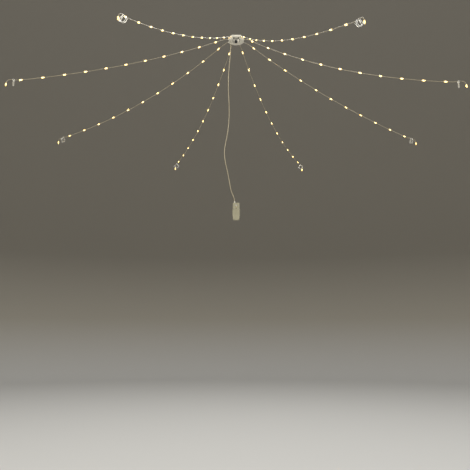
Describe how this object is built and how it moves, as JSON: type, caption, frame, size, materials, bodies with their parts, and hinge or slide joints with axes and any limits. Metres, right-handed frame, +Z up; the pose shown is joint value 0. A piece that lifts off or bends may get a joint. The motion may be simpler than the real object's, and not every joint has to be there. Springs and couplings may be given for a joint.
{
  "type": "string lights",
  "caption": "Battery string lights for a round garden shade: a split hub clamps on the post, strands of clear beads swag out from it to hinged clip rings, and a slim case clips on below.",
  "frame": {"origin": "on the post's axis, halfway up the hub's clamp", "axes": "+Z up along the post, +Y away from the viewer, +X to the viewer's right. The hub's mouth and the case's front face -Y."},
  "size_m": [2.4222, 2.4274, 1.1405],
  "materials": {
    "ivory_housing": "satin",
    "pad_rubber": "matte",
    "pin_steel": "satin",
    "circuit_board": "satin",
    "clear_bead": "clear",
    "strain_relief": "satin",
    "strand_cord": "clear",
    "lamp_chip": "glowing warm white",
    "clear_ring": "clear",
    "lead_cord": "satin",
    "case_plastic": "fine grain",
    "cell_wrap": "satin",
    "contact_metal": "polished",
    "button_rubber": "matte",
    "dark_window": "polished"
  },
  "bodies": {
    "hub": {"hub_body": "ivory_housing", "hub_cover": "ivory_housing", "hub_circuit_board": "circuit_board", "rim_lenses": "clear_bead", "rim_chips": "lamp_chip", "strand_grommets": "strain_relief", "housing_screws": "pin_steel", "grip_pads": "pad_rubber", "gate_pin": "pin_steel", "lead_collar": "strain_relief", "strand_1": "strand_cord", "strand_2": "strand_cord", "strand_3": "strand_cord", "strand_4": "strand_cord", "strand_5": "strand_cord", "strand_6": "strand_cord", "strand_7": "strand_cord", "strand_8": "strand_cord", "beads_1": "clear_bead", "beads_2": "clear_bead", "beads_3": "clear_bead", "beads_4": "clear_bead", "beads_5": "clear_bead", "beads_6": "clear_bead", "beads_7": "clear_bead", "beads_8": "clear_bead", "lamp_chips": "lamp_chip", "ring_base_1": "clear_ring", "ring_base_2": "clear_ring", "ring_base_3": "clear_ring", "ring_base_4": "clear_ring", "ring_base_5": "clear_ring", "ring_base_6": "clear_ring", "ring_base_7": "clear_ring", "ring_base_8": "clear_ring", "ring_pins": "pin_steel", "lead": "lead_cord", "case_body": "case_plastic", "case_front": "case_plastic", "lid_pin": "pin_steel", "lid_seal": "pad_rubber", "battery_cells": "cell_wrap", "contact_springs": "contact_metal", "contact_plates": "contact_metal", "control_board": "circuit_board", "receiver_window": "dark_window", "case_gland": "strain_relief", "post_clip": "case_plastic"},
    "hub_gate": {"hub_gate": "ivory_housing", "gate_pad": "pad_rubber"},
    "ring_gate_1": {"ring_gate_1": "clear_ring"},
    "ring_gate_2": {"ring_gate_2": "clear_ring"},
    "ring_gate_3": {"ring_gate_3": "clear_ring"},
    "ring_gate_4": {"ring_gate_4": "clear_ring"},
    "ring_gate_5": {"ring_gate_5": "clear_ring"},
    "ring_gate_6": {"ring_gate_6": "clear_ring"},
    "ring_gate_7": {"ring_gate_7": "clear_ring"},
    "ring_gate_8": {"ring_gate_8": "clear_ring"},
    "case_lid": {"case_lid": "case_plastic"},
    "power_button": {"power_button": "button_rubber"}
  },
  "joints": [
    {"name": "hub_gate_hinge", "type": "hinge", "parent": "hub", "child": "hub_gate", "pos_m": [0.026, -0.04353, 0.00475], "axis": [0, 0, 1], "range_deg": [0, 160]},
    {"name": "ring_gate_1_hinge", "type": "hinge", "parent": "hub", "child": "ring_gate_1", "pos_m": [1.17012, 0.48102, -0.4974], "axis": [0.9304, 0.3665, 0], "range_deg": [0, 100]},
    {"name": "ring_gate_2_hinge", "type": "hinge", "parent": "hub", "child": "ring_gate_2", "pos_m": [0.48727, 1.16754, -0.4924], "axis": [0.3987, 0.9171, 0], "range_deg": [0, 100]},
    {"name": "ring_gate_3_hinge", "type": "hinge", "parent": "hub", "child": "ring_gate_3", "pos_m": [-0.48102, 1.17012, -0.4784], "axis": [-0.3665, 0.9304, 0], "range_deg": [0, 100]},
    {"name": "ring_gate_4_hinge", "type": "hinge", "parent": "hub", "child": "ring_gate_4", "pos_m": [-1.17505, 0.46887, -0.4824], "axis": [-0.9232, 0.3843, 0], "range_deg": [0, 100]},
    {"name": "ring_gate_5_hinge", "type": "hinge", "parent": "hub", "child": "ring_gate_5", "pos_m": [-1.16067, -0.5034, -0.4754], "axis": [-0.9232, -0.3843, 0], "range_deg": [0, 100]},
    {"name": "ring_gate_6_hinge", "type": "hinge", "parent": "hub", "child": "ring_gate_6", "pos_m": [-0.45654, -1.17989, -0.4764], "axis": [-0.3746, -0.9272, 0], "range_deg": [0, 100]},
    {"name": "ring_gate_7_hinge", "type": "hinge", "parent": "hub", "child": "ring_gate_7", "pos_m": [0.53161, -1.14803, -0.4844], "axis": [0.4067, -0.9135, 0], "range_deg": [0, 100]},
    {"name": "ring_gate_8_hinge", "type": "hinge", "parent": "hub", "child": "ring_gate_8", "pos_m": [1.16324, -0.49744, -0.4964], "axis": [0.9135, -0.4067, 0], "range_deg": [0, 100]},
    {"name": "case_lid_hinge", "type": "hinge", "parent": "hub", "child": "case_lid", "pos_m": [0, -0.0469, -1.1254], "axis": [1, 0, 0], "range_deg": [0, 110]},
    {"name": "power_button_press", "type": "slide", "parent": "hub", "child": "power_button", "axis": [0, 1, 0], "range_m": [0, 0.001], "stiffness_N_per_m": 250}
  ]
}
